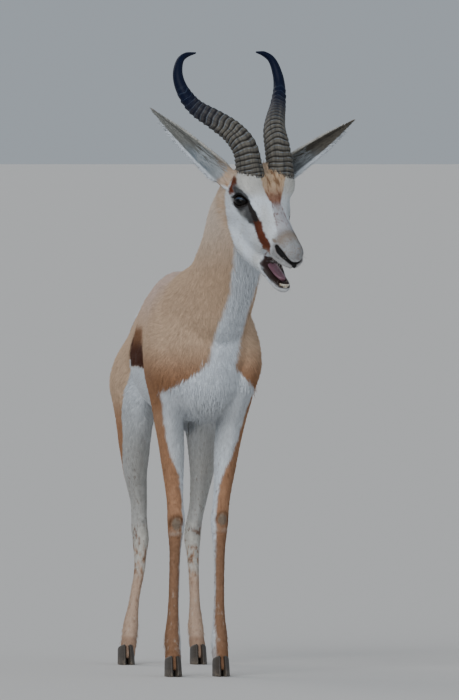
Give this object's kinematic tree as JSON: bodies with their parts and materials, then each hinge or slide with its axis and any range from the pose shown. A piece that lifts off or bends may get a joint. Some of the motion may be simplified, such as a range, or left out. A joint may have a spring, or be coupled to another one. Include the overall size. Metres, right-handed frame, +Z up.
{
  "type": "springbok",
  "caption": "Life-size springbok ram standing with its head turned to its left and its mouth open, with ringed lyre-shaped horns, long pointed ears and cloven hooves.",
  "frame": {"origin": "centre of the bounding box's base, on the floor between the feet", "axes": "-Y is the way the trunk faces, +X is the ram's left, +Z is up"},
  "size_m": [0.401, 1.1356, 1.2225],
  "materials": {
    "coat": "short flat fur, fawn above and white below, with a dark brown stripe between them",
    "horn": "ringed keratin, brown-grey at the base and smooth black at the tip",
    "hoof": "smooth dark keratin",
    "eye": "wet and glossy",
    "tongue": "moist pink",
    "teeth": "smooth ivory"
  },
  "bodies": {
    "root": {"head": "coat", "lower_jaw": "coat", "neck": "coat", "trunk": "coat", "tail": "coat", "forearm_left": "coat", "front_cannon_left": "coat", "front_pastern_left": "coat", "gaskin_left": "coat", "hind_cannon_left": "coat", "hind_pastern_left": "coat", "forearm_right": "coat", "front_cannon_right": "coat", "front_pastern_right": "coat", "gaskin_right": "coat", "hind_cannon_right": "coat", "hind_pastern_right": "coat", "ear_left": "coat", "ear_right": "coat", "horn_left": "horn", "horn_right": "horn", "claw_front_left_1": "hoof", "claw_front_left_2": "hoof", "claw_front_right_1": "hoof", "claw_front_right_2": "hoof", "claw_hind_left_1": "hoof", "claw_hind_left_2": "hoof", "claw_hind_right_1": "hoof", "claw_hind_right_2": "hoof", "eye_left": "eye", "eye_right": "eye", "tongue": "tongue", "lower_teeth": "teeth"}
  },
  "joints": []
}
